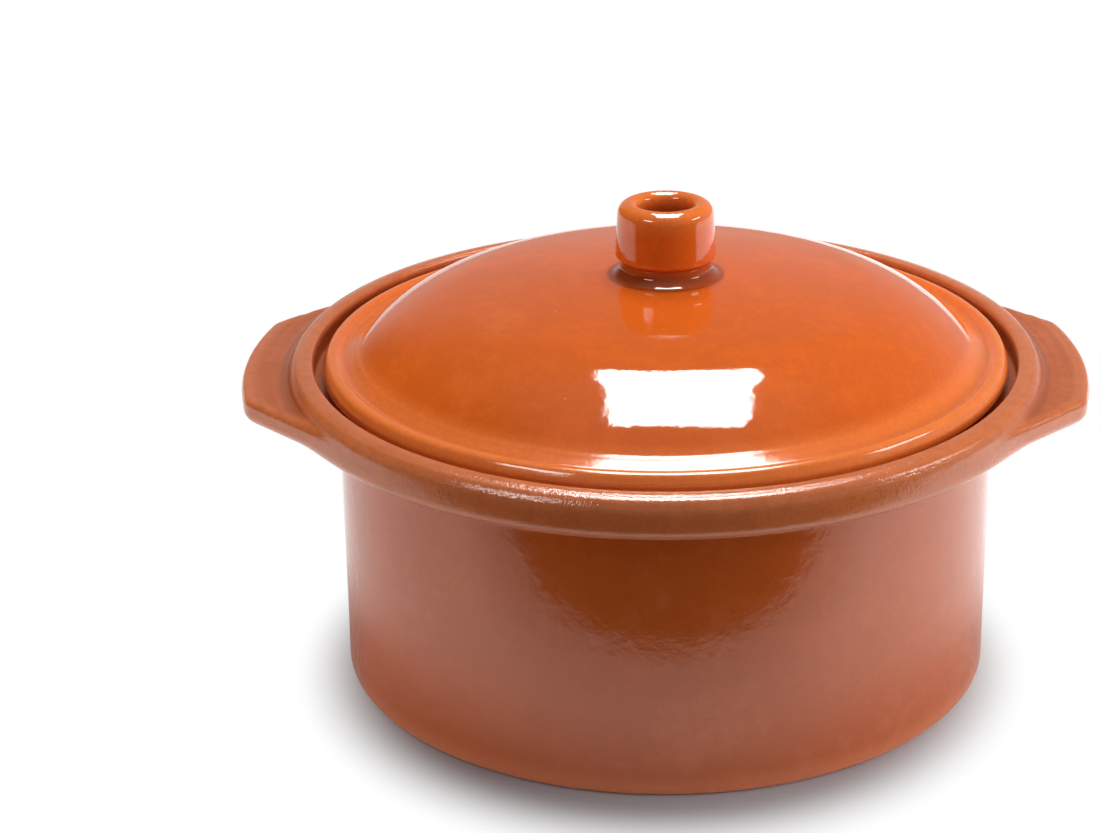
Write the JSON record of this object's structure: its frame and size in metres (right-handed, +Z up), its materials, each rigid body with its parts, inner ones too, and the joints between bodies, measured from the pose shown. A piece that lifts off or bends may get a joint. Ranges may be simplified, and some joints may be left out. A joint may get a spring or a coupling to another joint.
{
  "type": "clay cocotte",
  "caption": "Round glazed red-clay cocotte: straight wall, rolled rim with flat side lugs, and a loose domed lid with a hollow knob that lifts off its inner ledge.",
  "frame": {"origin": "on the pot's axis, in the plane that the foot stands on", "axes": "+Z up along the axis of the pot and lid; +X out through the right lug"},
  "size_m": [0.3078, 0.2742, 0.1736],
  "materials": {
    "pot_glaze": "clear honey glaze over red clay, glossy, with a fine orange-peel surface",
    "lid_glaze": "clear honey glaze over red clay, smooth and glossy, brighter orange"
  },
  "bodies": {
    "pot": {"pot_body": "pot_glaze", "left_handle": "pot_glaze", "right_handle": "pot_glaze"},
    "lid": {"lid": "lid_glaze", "lid_knob": "lid_glaze"}
  },
  "joints": [
    {"name": "lid_lift", "type": "slide", "parent": "pot", "child": "lid", "axis": [0, 0, 1], "range_m": [0, 0.16]}
  ]
}
